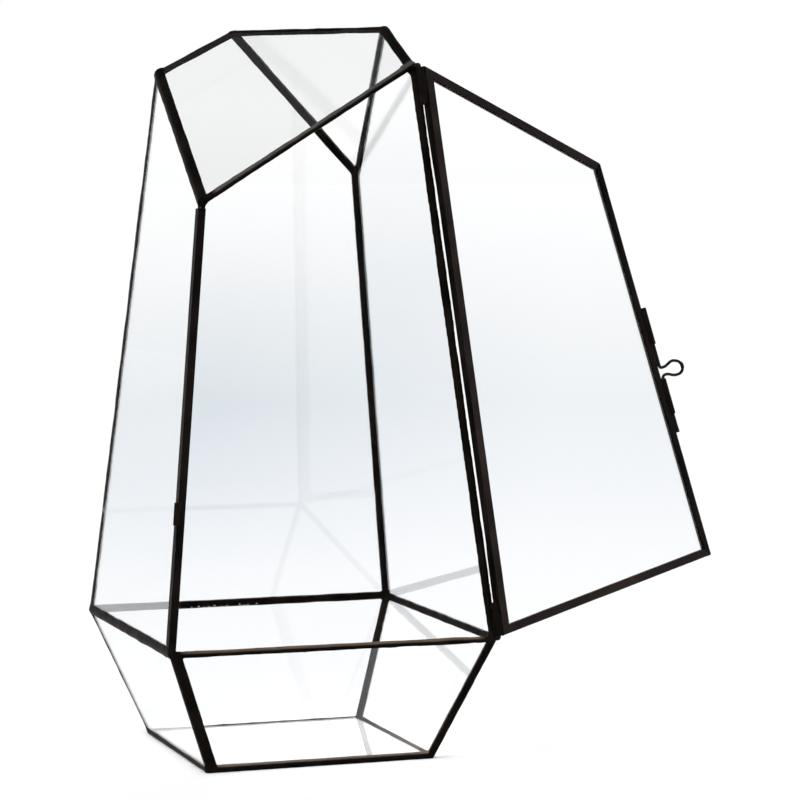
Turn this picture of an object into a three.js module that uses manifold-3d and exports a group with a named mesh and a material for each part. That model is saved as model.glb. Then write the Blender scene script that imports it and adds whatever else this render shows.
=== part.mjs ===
// A geometric glass terrarium: ten panes held in soldered seams, and a framed glass door that swings on
// two bent pins and is shut by a wire bolt. Millimetres, +Z up. The origin is the middle of the base on the
// surface that it stands on, and the doorway is the side that faces -Y.

import * as THREE from 'three';
import { mergeVertices } from 'three/addons/utils/BufferGeometryUtils.js';
import Module from 'manifold-3d';

const wasm = await Module();
wasm.setup();

// Glass body
const glass = 2;                  // thickness of every pane
const halfBase = 47.25;           // from the middle to a side of the base
const halfWaist = 67.5;           // from the middle to a side at the widest level
const waistHeight = 52;
const wallLean = 0.108;           // how far a wall leans in for each millimetre of height
const lowShoulderHeight = 229.5;  // top of the doorway on the latch side
const highShoulderHeight = 283.5; // top of the doorway on the hinge side, and of the post opposite
const peakHeight = 300.5;
const gableFootHeight = 241;      // lowest corner of the small triangular pane

// Soldered seams
const solder = 2.4;               // thickness of a seam across a pane
const postBead = 1.35;            // radius of the round seam beside the hinge
const capRadius = 1.2;            // radius of the seam on a pane edge that has no neighbour
const seat = 0.25;                // clearance between a pane and what holds its edge
const joint = 0.3;                // clearance between two lengths that meet in a corner
const overrun = 6;                // how far a length is drawn past its corner before it is cut

// U-section channel
const channelThickness = 3;
const channelWeb = 0.35;
const channelWall = 0.3;
const uprightFront = 0.6;         // how far the upright's web stands in front of the seam line
const uprightBack = 3.7;          // how far its flanges reach behind that line
const uprightTop = 2.6;           // from the corner down to the squared end of the upright
const railDepth = 3;              // web to flange tip, door rails and latch stile
const hingeStileDepth = 3.7;

// Hinge
const axisOut = 1.6;              // from the post line, away from the doorway
const axisForward = 3.2;          // in front of the doorway plane
const openAngle = 205.3;          // how far the door stands open, in degrees
const knuckleRadius = 1.6;
const knuckleBore = 1;
const knuckleLength = 9.6;
const pinRadius = 0.75;
const pinReach = 8;               // how far a pin stands in its knuckle
const hingeEdge = 1.85;           // from the hinge axis to the door's nearest edge

// How far the door's outline stands past the doorway's, side by side
const doorPast = { top: -0.2, bottom: -0.2, latchTop: 1.6, latchBottom: 0.45 };

// Latch, with distances along the latch stile measured from the door's outer top corner
const boltAside = 1.45;           // from the stile's edge out to the bolt
const boltInside = 0.95;          // from the door's middle plane towards its inner face
const wireRadius = 0.65;
const tubeRadius = 1.3;
const tubeBore = 0.85;
const upperGuide = [65.6, 81.9];
const lowerGuide = [97.7, 113.6];
const keeperTube = [118.7, 127.7];
const boltSpan = [74.8, 122];
const loopBend = [91.4, 98];      // where the wire leaves the bolt's line for the finger loop, and comes back
const saddleEnd = 138;            // where the keeper's solder foot runs out
const saddleThickness = 0.7;
const saddleTip = 0.15;           // its thickness at that end

// The finger loop from its upper leg round to its lower one: out from the bolt's line, and down the stile
const loopPoints = [[0.5, 92.6], [2.1, 93], [3.9, 93.05], [6, 92.6], [8.4, 92.2], [11, 92.8], [13.3, 94.1],
  [14.5, 96], [13.9, 97.8], [12.2, 98.7], [9.4, 98.7], [6.8, 98], [4.4, 96.9], [2.2, 96.45], [0.6, 96.85]];

const roundSides = 16;
const wireSides = 8;
const wireSteps = 96;

// ---- small helpers ------------------------------------------------------------------------------------

const vector = (x, y, z) => new THREE.Vector3(x, y, z);
const between = (from, to) => to.clone().sub(from);
const towards = (from, to) => between(from, to).normalize();

function solidOf(geometry, matrix = new THREE.Matrix4()) {
  const bare = geometry.clone().applyMatrix4(matrix);
  bare.deleteAttribute('normal');
  bare.deleteAttribute('uv');
  const merged = mergeVertices(bare, 1e-5);
  return new wasm.Manifold(new wasm.Mesh({
    numProp: 3,
    vertProperties: merged.attributes.position.array,
    triVerts: merged.index.array,
  }));
}

function geometryOf(solid) {
  const mesh = solid.getMesh();
  const geometry = new THREE.BufferGeometry();
  geometry.setAttribute('position', new THREE.BufferAttribute(mesh.vertProperties, 3));
  geometry.setIndex(new THREE.BufferAttribute(mesh.triVerts, 1));
  return geometry;
}

function named(name, geometry, material) {
  const mesh = new THREE.Mesh(geometry, material);
  mesh.name = name;
  return mesh;
}

const patina = () => new THREE.MeshStandardMaterial({
  color: 0x1d1a19, roughness: 0.5, metalness: 0.6, flatShading: true,
});
const clearGlass = () => new THREE.MeshStandardMaterial({
  color: 0xe9eff2, roughness: 0.05, metalness: 0, transparent: true, opacity: 0.3, flatShading: true,
});

// Cuts a length where it meets others: it keeps only what lies nearer to its own direction than to theirs.
function mitred(solid, corner, direction, others) {
  return others.reduce((kept, other) => {
    const normal = between(other, direction).normalize();
    return kept.trimByPlane(normal.toArray(), normal.dot(corner) + joint / 2);
  }, solid);
}

function frameAt(origin, xAxis, yAxis) {
  const zAxis = xAxis.clone().cross(yAxis);
  return new THREE.Matrix4().makeBasis(xAxis, yAxis, zAxis).setPosition(origin);
}

function shapeOf(points) {
  return new THREE.Shape(points.map(([x, y]) => new THREE.Vector2(x, y)));
}

// A tube or rod about +Z, from z = start to z = end.
function turned(outer, bore, start, end) {
  const profile = [[bore, start], [outer, start], [outer, end], [bore, end]];
  if (bore > 0) profile.push([bore, start]);
  const points = profile.map(([x, y]) => new THREE.Vector2(x, y));
  return new THREE.LatheGeometry(points, roundSides).rotateX(Math.PI / 2);
}

// U-section in its own plane: x runs from the web into the channel, y across it.
function channelSection(web, depth) {
  const outside = channelThickness / 2;
  const inside = outside - channelWall;
  return shapeOf([[web, -outside], [depth, -outside], [depth, -inside], [web + channelWeb, -inside],
    [web + channelWeb, inside], [depth, inside], [depth, outside], [web, outside]]);
}

// ---- the body's corners, panes and seams --------------------------------------------------------------

const floorLine = glass / 2;      // the base pane lies flat on the surface
const halfAt = (height) => halfWaist - wallLean * (height - waistHeight);

function cornerOn(side, depth, height, half = halfAt(height)) {
  return vector(side * half, depth * half, height);
}

const corners = {
  baseBackLeft: cornerOn(-1, 1, floorLine, halfBase),
  baseFrontLeft: cornerOn(-1, -1, floorLine, halfBase),
  baseFrontRight: cornerOn(1, -1, floorLine, halfBase),
  baseBackRight: cornerOn(1, 1, floorLine, halfBase),
  waistBackLeft: cornerOn(-1, 1, waistHeight),
  waistFrontLeft: cornerOn(-1, -1, waistHeight),
  waistFrontRight: cornerOn(1, -1, waistHeight),
  waistBackRight: cornerOn(1, 1, waistHeight),
  topFrontLeft: cornerOn(-1, -1, lowShoulderHeight),
  topBackLeft: cornerOn(-1, 1, highShoulderHeight),
  topFrontRight: cornerOn(1, -1, highShoulderHeight),
  gableFoot: cornerOn(1, 1, gableFootHeight),
};

// The slanting top pane passes through three shoulders, and meets the back and right walls at the peaks.
const topSlope = (corners.topFrontLeft.x + corners.topFrontLeft.y) / (lowShoulderHeight - highShoulderHeight);
const peakHalf = halfAt(peakHeight);
const peakInward = topSlope * (peakHeight - highShoulderHeight) - peakHalf;
corners.peakBack = vector(peakInward, peakHalf, peakHeight);
corners.peakRight = vector(peakHalf, peakInward, peakHeight);

const panes = {
  pane_base: ['baseBackLeft', 'baseFrontLeft', 'baseFrontRight', 'baseBackRight'],
  pane_lower_front: ['waistFrontLeft', 'waistFrontRight', 'baseFrontRight', 'baseFrontLeft'],
  pane_lower_right: ['waistFrontRight', 'waistBackRight', 'baseBackRight', 'baseFrontRight'],
  pane_lower_back: ['waistBackRight', 'waistBackLeft', 'baseBackLeft', 'baseBackRight'],
  pane_lower_left: ['waistBackLeft', 'waistFrontLeft', 'baseFrontLeft', 'baseBackLeft'],
  pane_left: ['waistBackLeft', 'waistFrontLeft', 'topFrontLeft', 'topBackLeft'],
  pane_right: ['waistFrontRight', 'waistBackRight', 'gableFoot', 'peakRight', 'topFrontRight'],
  pane_back: ['waistBackRight', 'waistBackLeft', 'topBackLeft', 'peakBack', 'gableFoot'],
  pane_top: ['topBackLeft', 'peakBack', 'peakRight', 'topFrontRight', 'topFrontLeft'],
  pane_gable: ['peakBack', 'gableFoot', 'peakRight'],
};

// Each seam runs between two corners and covers a margin of every pane that it holds.
const seams = {
  seam_base_front: { ends: ['baseFrontLeft', 'baseFrontRight'], margin: 1.5 },
  seam_base_right: { ends: ['baseFrontRight', 'baseBackRight'], margin: 1.2 },
  seam_base_back: { ends: ['baseBackRight', 'baseBackLeft'], margin: 1.1 },
  seam_base_left: { ends: ['baseBackLeft', 'baseFrontLeft'], margin: 1.1 },
  seam_lower_front_left: { ends: ['baseFrontLeft', 'waistFrontLeft'], margin: 2.6 },
  seam_lower_front_right: { ends: ['baseFrontRight', 'waistFrontRight'], margin: 1.1 },
  seam_lower_back_right: { ends: ['baseBackRight', 'waistBackRight'], margin: 2 },
  seam_lower_back_left: { ends: ['baseBackLeft', 'waistBackLeft'], margin: 1.1 },
  seam_waist_front: { ends: ['waistFrontLeft', 'waistFrontRight'], margin: 1, radius: capRadius },
  seam_waist_right: { ends: ['waistFrontRight', 'waistBackRight'], margin: 1.5 },
  seam_waist_back: { ends: ['waistBackRight', 'waistBackLeft'], margin: 1.5 },
  seam_waist_left: { ends: ['waistBackLeft', 'waistFrontLeft'], margin: 1.2 },
  seam_wall_front_right: { ends: ['waistFrontRight', 'topFrontRight'], margin: 1.8, radius: postBead },
  seam_wall_back_right: { ends: ['waistBackRight', 'gableFoot'], margin: 2.1 },
  seam_wall_back_left: { ends: ['waistBackLeft', 'topBackLeft'], margin: 1.6 },
  seam_shoulder_front: { ends: ['topFrontRight', 'topFrontLeft'], margin: 0.9, radius: capRadius },
  seam_shoulder_left: { ends: ['topFrontLeft', 'topBackLeft'], margin: 2.2 },
  seam_shoulder_back: { ends: ['topBackLeft', 'peakBack'], margin: 1.8 },
  seam_shoulder_right: { ends: ['peakRight', 'topFrontRight'], margin: 2.1 },
  seam_ridge: { ends: ['peakBack', 'peakRight'], margin: 1.3 },
  seam_gable_back: { ends: ['peakBack', 'gableFoot'], margin: 1.5 },
  seam_gable_right: { ends: ['gableFoot', 'peakRight'], margin: 1.2 },
};
const upright = {
  ends: ['waistFrontLeft', 'topFrontLeft'],
  margin: channelWeb + joint - uprightFront - seat,
};
const edges = [...Object.values(seams), upright];

const joins = (edge, first, second) => edge.ends.includes(first) && edge.ends.includes(second);
const middleOf = (names) => names.reduce((sum, name) => sum.add(corners[name]), vector(0, 0, 0))
  .divideScalar(names.length);

function outwardNormal(paneName) {
  const [first, second, third] = panes[paneName].map((name) => corners[name]);
  const normal = between(second, first).cross(between(second, third)).normalize();
  const away = middleOf(panes[paneName]).sub(vector(0, 0, waistHeight));
  return normal.dot(away) < 0 ? normal.negate() : normal;
}

// Directions in which every edge but the given one leaves a corner
function neighboursAt(cornerName, edge) {
  return edges.filter((other) => other !== edge && other.ends.includes(cornerName)).map((other) => {
    const far = other.ends.find((name) => name !== cornerName);
    return towards(corners[cornerName], corners[far]);
  });
}

// Draws a section along an edge and mitres both of its ends.
function alongEdge(edge, section, xAxis, yAxis) {
  const ends = edge.ends.map((name) => corners[name]);
  const direction = xAxis.clone().cross(yAxis);
  const forward = between(ends[0], ends[1]).dot(direction) > 0;
  const origin = (forward ? ends[0] : ends[1]).clone().addScaledVector(direction, -overrun);
  const depth = ends[0].distanceTo(ends[1]) + 2 * overrun;
  const length = new THREE.ExtrudeGeometry(section, { depth, bevelEnabled: false, curveSegments: 5 });
  let solid = solidOf(length, frameAt(origin, xAxis, yAxis));
  for (const name of edge.ends) {
    const far = edge.ends.find((other) => other !== name);
    solid = mitred(solid, corners[name], towards(corners[name], corners[far]), neighboursAt(name, edge));
  }
  return solid;
}

// In the section x runs into the first pane and y along its outward normal. The pane beside it is at `angle`.
function seamSection(margin, angle, radius) {
  const half = solder / 2;
  const shape = new THREE.Shape();
  shape.moveTo(margin, half);
  shape.lineTo(margin, -half);
  if (angle === undefined) {
    shape.absarc(0, 0, radius, -Math.PI / 2, Math.PI / 2, true);
    return shape;
  }
  const into = new THREE.Vector2(Math.cos(angle), -Math.sin(angle));
  const outward = new THREE.Vector2(-Math.sin(angle), -Math.cos(angle));
  const inner = into.clone().multiplyScalar(margin).addScaledVector(outward, -half);
  const outer = into.clone().multiplyScalar(margin).addScaledVector(outward, half);
  shape.lineTo(inner.x, inner.y);
  shape.lineTo(outer.x, outer.y);
  shape.absarc(0, 0, half, 1.5 * Math.PI - angle, Math.PI / 2, true);
  return shape;
}

function intoPane(paneName, edge) {
  const [first, second] = edge.ends.map((name) => corners[name]);
  const inward = outwardNormal(paneName).cross(towards(first, second));
  return inward.dot(between(first, middleOf(panes[paneName]))) < 0 ? inward.negate() : inward;
}

function makeSeam(name) {
  const seam = seams[name];
  const held = Object.keys(panes).filter((pane) => seam.ends.every((end) => panes[pane].includes(end)));
  const xAxis = intoPane(held[0], seam);
  const yAxis = outwardNormal(held[0]);
  const angle = held.length > 1 ? xAxis.angleTo(intoPane(held[1], seam)) : undefined;
  const section = seamSection(seam.margin, angle, seam.radius);
  const solid = alongEdge(seam, section, xAxis, yAxis);
  return named(name, geometryOf(solid.trimByPlane([0, 0, 1], 0)), patina());
}

// Where two straight lines cross, each a point and a direction in the same plane
function crossing(first, second) {
  const across = first.direction.clone().cross(second.direction);
  const reach = between(first.point, second.point).cross(second.direction).dot(across) / across.lengthSq();
  return first.point.clone().addScaledVector(first.direction, reach);
}

function makePane(name) {
  const ring = panes[name];
  const sides = ring.map((cornerName, i) => {
    const next = ring[(i + 1) % ring.length];
    const edge = edges.find((candidate) => joins(candidate, cornerName, next));
    const point = corners[cornerName].clone().addScaledVector(intoPane(name, edge), edge.margin + seat);
    return { point, direction: towards(corners[cornerName], corners[next]) };
  });
  const outline = sides.map((side, i) => crossing(side, sides[(i + 1) % sides.length]));
  const normal = outwardNormal(name);
  const xAxis = towards(outline[0], outline[1]);
  const yAxis = normal.clone().cross(xAxis);
  const origin = outline[0];
  const flat = outline.map((point) => {
    const offset = between(origin, point);
    return [offset.dot(xAxis), offset.dot(yAxis)];
  });
  const geometry = new THREE.ExtrudeGeometry(shapeOf(flat), { depth: glass, bevelEnabled: false });
  geometry.translate(0, 0, -glass / 2);
  const mesh = named(name, geometry, clearGlass());
  mesh.applyMatrix4(frameAt(origin, xAxis, yAxis));
  return mesh;
}

function makeUpright() {
  const inward = intoPane('pane_left', upright);
  const section = channelSection(-uprightFront, uprightBack);
  const solid = alongEdge(upright, section, inward, outwardNormal('pane_left'));
  const [foot, head] = upright.ends.map((name) => corners[name]);
  const down = towards(head, foot);
  const squared = solid.trimByPlane(down.toArray(), down.dot(head) + uprightTop);
  return named('upright_channel', geometryOf(squared), patina());
}

// ---- the doorway's own frame: x from the hinge axis towards the latch, y out of the doorway, z up the axis

const hingeFoot = corners.waistFrontRight;
const axisUp = towards(hingeFoot, corners.topFrontRight);
const doorwayOut = vector(0, -1, wallLean).normalize();
const latchward = doorwayOut.clone().cross(axisUp);
const axisOrigin = hingeFoot.clone()
  .addScaledVector(latchward, -axisOut)
  .addScaledVector(doorwayOut, axisForward);
const doorwayMatrix = frameAt(axisOrigin, latchward, doorwayOut);
const toDoorway = doorwayMatrix.clone().invert();
const inDoorway = (name) => corners[name].clone().applyMatrix4(toDoorway);
const onDoorPlane = (name) => inDoorway(name).setY(0);

// A side of the door: the doorway's edge, moved outwards by one amount at its start and another at its end
function doorSide(startName, endName, startPast, endPast = startPast) {
  const start = onDoorPlane(startName);
  const end = onDoorPlane(endName);
  const outwards = towards(start, end).cross(vector(0, 1, 0));
  start.addScaledVector(outwards, startPast);
  end.addScaledVector(outwards, endPast);
  return { point: start, direction: towards(start, end) };
}

const doorSides = {
  hinge: { point: vector(hingeEdge, 0, 0), direction: vector(0, 0, 1) },
  top: doorSide('topFrontRight', 'topFrontLeft', doorPast.top),
  latch: doorSide('topFrontLeft', 'waistFrontLeft', doorPast.latchTop, doorPast.latchBottom),
  bottom: doorSide('waistFrontLeft', 'waistFrontRight', doorPast.bottom),
};
const doorCorners = {
  hingeTop: crossing(doorSides.hinge, doorSides.top),
  latchTop: crossing(doorSides.top, doorSides.latch),
  latchBottom: crossing(doorSides.latch, doorSides.bottom),
  hingeBottom: crossing(doorSides.bottom, doorSides.hinge),
};

// One length of the door's frame. Lengths are counted from the hinge stile, on round by the top rail.
function makeChannel(name, place, depth) {
  const ring = [doorCorners.hingeBottom, doorCorners.hingeTop, doorCorners.latchTop, doorCorners.latchBottom];
  const [start, end, after, before] = ring.map((corner, i) => ring[(i + place) % ring.length]);
  const direction = towards(start, end);
  const inward = vector(0, 1, 0).cross(direction);
  const origin = start.clone().addScaledVector(direction, -overrun);
  const length = new THREE.ExtrudeGeometry(channelSection(0, depth), {
    depth: start.distanceTo(end) + 2 * overrun, bevelEnabled: false,
  });
  let solid = solidOf(length, frameAt(origin, inward, direction.clone().cross(inward)));
  solid = mitred(solid, start, direction, [towards(start, before)]);
  solid = mitred(solid, end, direction.clone().negate(), [towards(end, after)]);
  return named(name, geometryOf(solid), patina());
}

function makeDoorPane() {
  const centre = Object.values(doorCorners).reduce((sum, corner) => sum.add(corner), vector(0, 0, 0))
    .divideScalar(4);
  const ring = ['hinge', 'top', 'latch', 'bottom'].map((name) => doorSides[name]);
  const sides = ring.map(({ point, direction }) => {
    const inward = vector(0, 1, 0).cross(direction).normalize();
    if (inward.dot(between(point, centre)) < 0) inward.negate();
    return { point: point.clone().addScaledVector(inward, channelWeb + joint), direction };
  });
  const outline = sides.map((side, i) => crossing(side, sides[(i + 1) % sides.length]));
  const shape = shapeOf(outline.map((point) => [point.x, point.z]));
  const geometry = new THREE.ExtrudeGeometry(shape, { depth: glass, bevelEnabled: false });
  geometry.rotateX(Math.PI / 2).translate(0, glass / 2, 0);
  return named('door_pane', geometry, clearGlass());
}

// The lower knuckle starts level with the door's bottom corner, and the upper one ends just under its top.
const kneeGap = joint + pinRadius;
const lowerKnuckle = [doorCorners.hingeBottom.z, doorCorners.hingeBottom.z + knuckleLength];
const upperKnuckle = [doorCorners.hingeTop.z - knuckleLength - joint, doorCorners.hingeTop.z - joint];

function makeKnuckle(name, [start, end]) {
  return named(name, turned(knuckleRadius, knuckleBore, start, end), patina());
}

// A bent pin: one leg stands in the knuckle, and the other lies level and is soldered to the body's corner.
function makePin(name, kneeHeight, legUp, cornerName) {
  const postLine = inDoorway(cornerName).setZ(0);
  const footReach = postLine.length() - postBead - joint;
  const tip = legUp ? kneeHeight + kneeGap + pinReach : kneeHeight - kneeGap - pinReach;
  const leg = turned(pinRadius, 0, Math.min(tip, kneeHeight), Math.max(tip, kneeHeight));
  const knee = new THREE.SphereGeometry(pinRadius, roundSides, roundSides / 2).rotateX(Math.PI / 2);
  knee.translate(0, 0, kneeHeight);
  const up = vector(0, 0, 1);
  const side = up.clone().cross(postLine.normalize());
  const foot = solidOf(turned(pinRadius, 0, 0, footReach), frameAt(vector(0, 0, kneeHeight), side, up));
  return named(name, geometryOf(solidOf(leg).add(solidOf(knee)).add(foot)), patina());
}

// ---- the latch's frame: x away from the stile, y as in the doorway's frame, z up the stile from the corner

const stileUp = towards(doorCorners.latchBottom, doorCorners.latchTop);
const stileOut = vector(0, 1, 0).cross(stileUp);
const latchOrigin = doorCorners.latchTop.clone().addScaledVector(stileOut, boltAside).setY(-boltInside);
const latchMatrix = frameAt(latchOrigin, stileOut, vector(0, 1, 0));

function latchGroup() {
  const group = new THREE.Group();
  group.applyMatrix4(latchMatrix);
  return group;
}

const tubeOnStile = ([start, end]) => turned(tubeRadius, tubeBore, -end, -start);

function makeBolt() {
  const loop = [[0, loopBend[0]], ...loopPoints, [0, loopBend[1]]];
  const route = new THREE.CurvePath();
  route.add(new THREE.LineCurve3(vector(0, 0, -boltSpan[0]), vector(0, 0, -loopBend[0])));
  route.add(new THREE.CatmullRomCurve3(loop.map(([out, down]) => vector(out, 0, -down))));
  route.add(new THREE.LineCurve3(vector(0, 0, -loopBend[1]), vector(0, 0, -boltSpan[1])));
  const section = new THREE.Shape().absarc(0, 0, wireRadius, 0, 2 * Math.PI);
  const wire = new THREE.ExtrudeGeometry(section, {
    steps: wireSteps, curveSegments: wireSides / 2, extrudePath: route,
  });
  return named('latch_bolt', wire, patina());
}

// The keeper takes the bolt's lower end when the door is shut. A foot of solder joins it to the upright.
function makeKeeper() {
  const toLatch = doorwayMatrix.clone().multiply(latchMatrix).invert();
  const head = corners.topFrontLeft.clone().applyMatrix4(toLatch);
  const foot = corners.waistFrontLeft.clone().applyMatrix4(toLatch);
  const seamAt = (down) => head.clone().lerp(foot, (head.z + down) / (head.z - foot.z));
  const onSide = (down, proud) => [seamAt(down).x + channelThickness / 2 + joint + proud, -down];
  const [top, bottom] = keeperTube;
  const outline = shapeOf([onSide(top, 0), onSide(top, saddleThickness), onSide(bottom, saddleThickness),
    onSide(saddleEnd, saddleTip), onSide(saddleEnd, 0)]);
  const back = seamAt(top).y - uprightBack / 2;
  const plate = new THREE.ExtrudeGeometry(outline, { depth: -back, bevelEnabled: false });
  plate.rotateX(Math.PI / 2);
  const bore = solidOf(turned(tubeBore, 0, -bottom - joint, -top + joint));
  const tube = solidOf(turned(tubeRadius, 0, -bottom, -top));
  return named('latch_keeper', geometryOf(tube.add(solidOf(plate)).subtract(bore)), patina());
}

// ---- assembly -----------------------------------------------------------------------------------------

const terrarium = new THREE.Group();
for (const name of Object.keys(panes)) terrarium.add(makePane(name));
for (const name of Object.keys(seams)) terrarium.add(makeSeam(name));
terrarium.add(makeUpright());

const doorway = new THREE.Group();
doorway.applyMatrix4(doorwayMatrix);
doorway.add(makePin('hinge_pin_top', doorCorners.hingeTop.z + kneeGap, false, 'topFrontRight'));
doorway.add(makePin('hinge_pin_bottom', lowerKnuckle[0] - kneeGap, true, 'waistFrontRight'));
const keeper = latchGroup();
keeper.add(makeKeeper());
doorway.add(keeper);
terrarium.add(doorway);

const door = new THREE.Group();
door.rotation.z = THREE.MathUtils.degToRad(openAngle);
door.add(makeDoorPane());
door.add(makeChannel('door_stile_hinge', 0, hingeStileDepth));
door.add(makeChannel('door_rail_top', 1, railDepth));
door.add(makeChannel('door_stile_latch', 2, railDepth));
door.add(makeChannel('door_rail_bottom', 3, railDepth));
door.add(makeKnuckle('hinge_knuckle_bottom', lowerKnuckle));
door.add(makeKnuckle('hinge_knuckle_top', upperKnuckle));
const latch = latchGroup();
latch.add(named('bolt_guide_upper', tubeOnStile(upperGuide), patina()));
latch.add(named('bolt_guide_lower', tubeOnStile(lowerGuide), patina()));
latch.add(makeBolt());
door.add(latch);
doorway.add(door);

export default terrarium;
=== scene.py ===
import math

import bmesh
import bpy
from mathutils import Euler, Matrix, Vector, noise


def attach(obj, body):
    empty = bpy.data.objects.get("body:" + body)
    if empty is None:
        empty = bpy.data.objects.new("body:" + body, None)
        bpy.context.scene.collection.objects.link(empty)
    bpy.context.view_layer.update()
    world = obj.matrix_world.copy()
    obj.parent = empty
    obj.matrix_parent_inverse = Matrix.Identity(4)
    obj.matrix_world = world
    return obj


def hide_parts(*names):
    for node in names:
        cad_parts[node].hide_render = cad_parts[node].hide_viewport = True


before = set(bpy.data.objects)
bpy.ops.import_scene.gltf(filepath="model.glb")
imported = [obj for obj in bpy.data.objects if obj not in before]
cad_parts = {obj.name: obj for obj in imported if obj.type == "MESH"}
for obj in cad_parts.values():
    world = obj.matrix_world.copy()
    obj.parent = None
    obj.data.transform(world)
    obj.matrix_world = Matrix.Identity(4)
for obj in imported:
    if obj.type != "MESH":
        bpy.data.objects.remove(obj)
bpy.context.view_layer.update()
print("frame loaded:", len(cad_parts), "nodes")

# every length below is in millimetres, unless a note says otherwise
millimetre = 0.001

# the camera stands at the photograph's viewing angle
cameraView = {
    "target": (76.21, 74.04, 138.93),
    "distance": 1408.99,
    "azimuth": -18.841,
    "elevation": 4.163,
    "roll": -0.186,
    "lens": 141.16,
    "sensor": 36.0,
    "clip": (0.05, 200.0),  # metres
}


def makeCamera():
    azimuth = math.radians(cameraView["azimuth"])
    elevation = math.radians(cameraView["elevation"])
    back = Vector((
        math.sin(azimuth) * math.cos(elevation),
        -math.cos(azimuth) * math.cos(elevation),
        math.sin(elevation),
    ))
    data = bpy.data.cameras.new("camera")
    data.lens = cameraView["lens"]
    data.sensor_width = cameraView["sensor"]
    data.clip_start, data.clip_end = cameraView["clip"]
    camera = bpy.data.objects.new("camera", data)
    bpy.context.scene.collection.objects.link(camera)
    turn = (-back).to_track_quat("-Z", "Y").to_matrix().to_4x4()
    roll = Matrix.Rotation(math.radians(cameraView["roll"]), 4, "Z")
    place = Vector(cameraView["target"]) + back * cameraView["distance"]
    camera.matrix_world = Matrix.Translation(place * millimetre) @ turn @ roll
    bpy.context.scene.camera = camera


makeCamera()
print("camera made")


def newMaterial(name):
    material = bpy.data.materials.new(name)
    material.use_nodes = True
    nodes = material.node_tree.nodes
    return material, nodes, material.node_tree.links, nodes["Principled BSDF"]


def noiseTexture(nodes, links, scale, detail=3.0, roughness=0.5):
    place = nodes.new("ShaderNodeTexCoord")
    texture = nodes.new("ShaderNodeTexNoise")
    texture.inputs["Scale"].default_value = scale
    texture.inputs["Detail"].default_value = detail
    texture.inputs["Roughness"].default_value = roughness
    links.new(place.outputs["Object"], texture.inputs["Vector"])
    return texture.outputs["Fac"]


def splitAxes(nodes, links, source):
    split = nodes.new("ShaderNodeSeparateXYZ")
    links.new(source, split.inputs["Vector"])
    return split.outputs


def colourRamp(nodes, links, source, stops):
    ramp = nodes.new("ShaderNodeValToRGB")
    elements = ramp.color_ramp.elements
    while len(elements) < len(stops):
        elements.new(0.5)
    for element, (position, colour) in zip(elements, stops):
        element.position = position
        element.color = (*colour, 1)
    links.new(source, ramp.inputs["Fac"])
    return ramp.outputs["Color"]


def valueRange(nodes, links, source, low, high, fromLow=0.3, fromHigh=0.7):
    remap = nodes.new("ShaderNodeMapRange")
    remap.inputs["From Min"].default_value = fromLow
    remap.inputs["From Max"].default_value = fromHigh
    remap.inputs["To Min"].default_value = low
    remap.inputs["To Max"].default_value = high
    links.new(source, remap.inputs["Value"])
    return remap.outputs["Result"]


def calculate(nodes, links, operation, first, second):
    step = nodes.new("ShaderNodeMath")
    step.operation = operation
    for socket, value in zip(step.inputs, (first, second)):
        if isinstance(value, (int, float)):
            socket.default_value = value
        else:
            links.new(value, socket)
    return step.outputs["Value"]


def mixColours(nodes, links, share, first, second, blend="MIX"):
    mix = nodes.new("ShaderNodeMix")
    mix.data_type = "RGBA"
    mix.blend_type = blend
    links.new(share, mix.inputs["Factor"])
    for socket, value in ((mix.inputs[6], first), (mix.inputs[7], second)):
        if isinstance(value, tuple):
            socket.default_value = (*value, 1)
        else:
            links.new(value, socket)
    return mix.outputs[2]


def addBump(nodes, links, shader, source, strength, distance):
    bump = nodes.new("ShaderNodeBump")
    bump.inputs["Strength"].default_value = strength
    bump.inputs["Distance"].default_value = distance
    links.new(source, bump.inputs["Height"])
    links.new(bump.outputs["Normal"], shader.inputs["Normal"])


solderFinish = {
    "black": (0.0016, 0.0014, 0.0014),
    "brown": (0.0085, 0.006, 0.0045),
    "patchScale": 60,
    "lumpScale": 420,
    "roughness": (0.34, 0.52),
    "shine": 0.012,
    "bump": (0.35, 0.00022),
}
# painted highlights on what faces up: tan on the low front seams, and grey on the top pane's front edge
# each zone: its colour, its share and its limits, in metres, where the share runs from none to full
upperHighlightFinish = {
    "facingUp": (0.1, 0.6),
    "zones": (
        {
            "colour": (0.125, 0.092, 0.068),
            "amount": 0.95,
            "height": (0.0546, 0.0538),
            "depth": (0.03, -0.03),
            "width": (0.0645, 0.061),
        },
        {
            "colour": (0.1, 0.096, 0.088),
            "amount": 0.75,
            "height": (0.224, 0.226),
            "depth": (-0.0395, -0.0415),
            "width": (0.0445, 0.0425),
        },
    ),
}


# paints highlights on the upward faces inside each zone, broken up by the solder's patches
def paintUpperHighlights(nodes, links, colour, patches):
    geometry = nodes.new("ShaderNodeNewGeometry")
    place = nodes.new("ShaderNodeTexCoord")
    up = splitAxes(nodes, links, geometry.outputs["Normal"])["Z"]
    where = splitAxes(nodes, links, place.outputs["Object"])
    aside = calculate(nodes, links, "ABSOLUTE", where["X"], 0)
    highlit = valueRange(nodes, links, patches, 0.6, 1)
    for zone in upperHighlightFinish["zones"]:
        share = valueRange(nodes, links, up, 0, zone["amount"], *upperHighlightFinish["facingUp"])
        limits = (
            valueRange(nodes, links, where["Z"], 0, 1, *zone["height"]),
            valueRange(nodes, links, where["Y"], 0, 1, *zone["depth"]),
            valueRange(nodes, links, aside, 0, 1, *zone["width"]),
            highlit,
        )
        for limit in limits:
            share = calculate(nodes, links, "MULTIPLY", share, limit)
        colour = mixColours(nodes, links, share, colour, zone["colour"])
    return colour


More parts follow.
